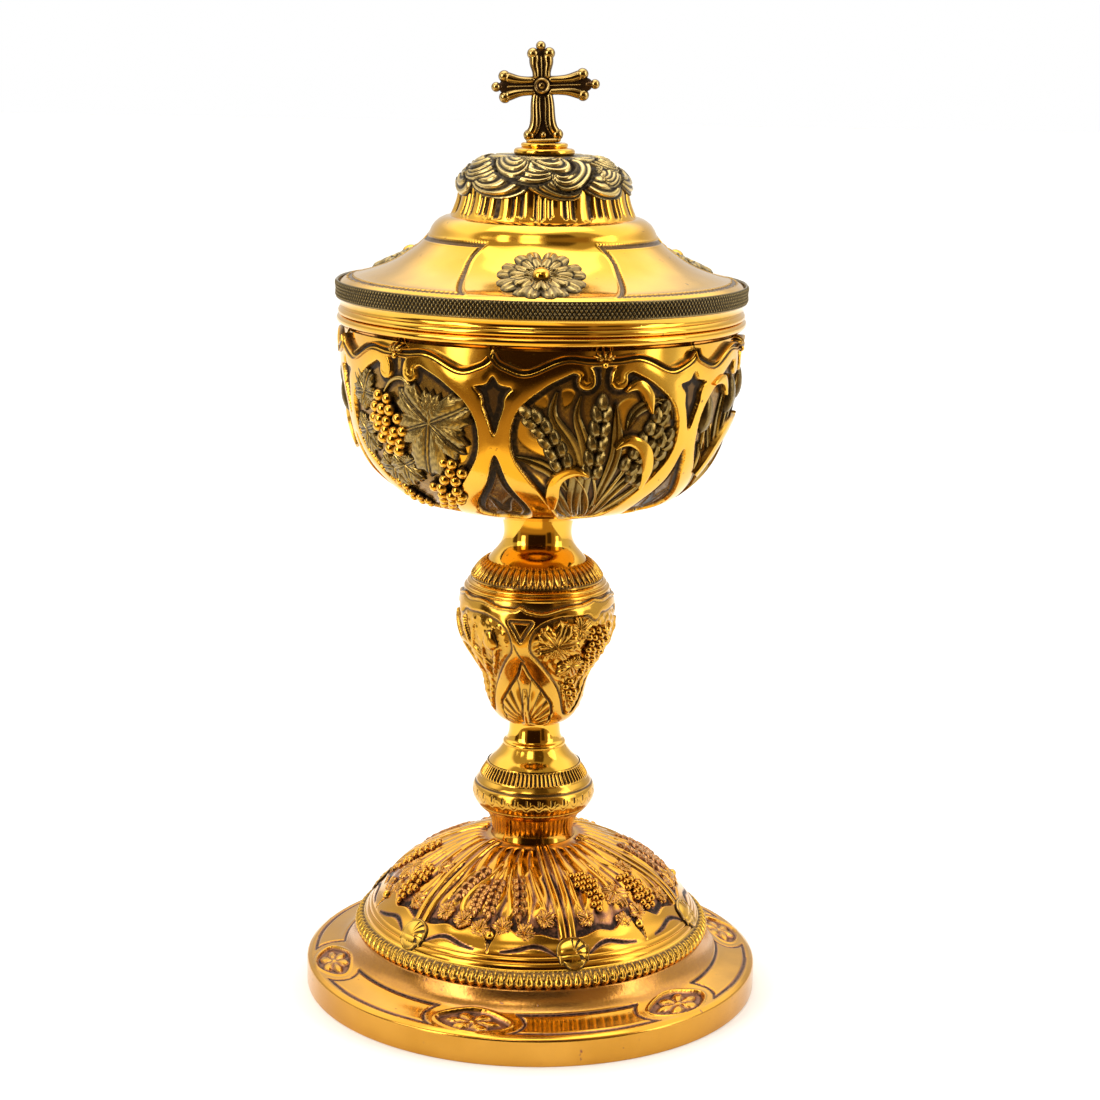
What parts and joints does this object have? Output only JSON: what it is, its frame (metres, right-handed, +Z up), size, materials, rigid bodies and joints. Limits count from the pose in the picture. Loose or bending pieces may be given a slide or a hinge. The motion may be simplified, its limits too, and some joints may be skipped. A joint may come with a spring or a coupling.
{
  "type": "ciborium",
  "caption": "Lidded footed metal cup with an openwork chased outer cup, baluster stem with a pear-shaped knop, domed stepped foot, and a stepped lid topped by a small cross.",
  "frame": {"origin": "centre of the foot's resting ring, in the plane it stands on", "axes": "+Z up along the stem; -Y is the front, where the cross is seen face on"},
  "size_m": [0.14, 0.14, 0.288],
  "materials": {
    "bright_gilt": "polished gilt brass",
    "chased_gilt": "chased gilt brass with a dark oxidised ground",
    "copper_gilt": "chased gilt brass rubbed to a coppery tone",
    "matted_gilt": "matted gilt brass",
    "milled_gilt": "milled gilt brass with dark recesses",
    "dark_bronze": "darkened bronze-gold with rubbed edges",
    "steel": "turned steel"
  },
  "bodies": {
    "vessel": {"foot_flange": "chased_gilt", "foot_rim_wire": "bright_gilt", "foot_dome": "copper_gilt", "gadroon_ring": "chased_gilt", "base_collar": "bright_gilt", "lower_knop": "chased_gilt", "ribbed_ring": "chased_gilt", "middle_collar": "bright_gilt", "knop": "chased_gilt", "knop_shoulder": "chased_gilt", "upper_collar": "bright_gilt", "cup": "bright_gilt", "cup_lip_ring": "bright_gilt", "false_cup": "chased_gilt", "cup_boss": "bright_gilt", "tie_rod": "steel", "foot_washer": "bright_gilt", "foot_nut": "steel"},
    "lid": {"lid_bezel": "bright_gilt", "lid_base_ring": "bright_gilt", "lid_knurled_rim": "milled_gilt", "lid_skirt": "chased_gilt", "lid_crown": "matted_gilt", "finial_seat": "bright_gilt", "cross": "dark_bronze", "finial_washer": "bright_gilt", "finial_nut": "steel"}
  },
  "joints": [
    {"name": "lid_lift", "type": "slide", "parent": "vessel", "child": "lid", "axis": [0, 0, 1], "range_m": [0, 0.06]}
  ]
}
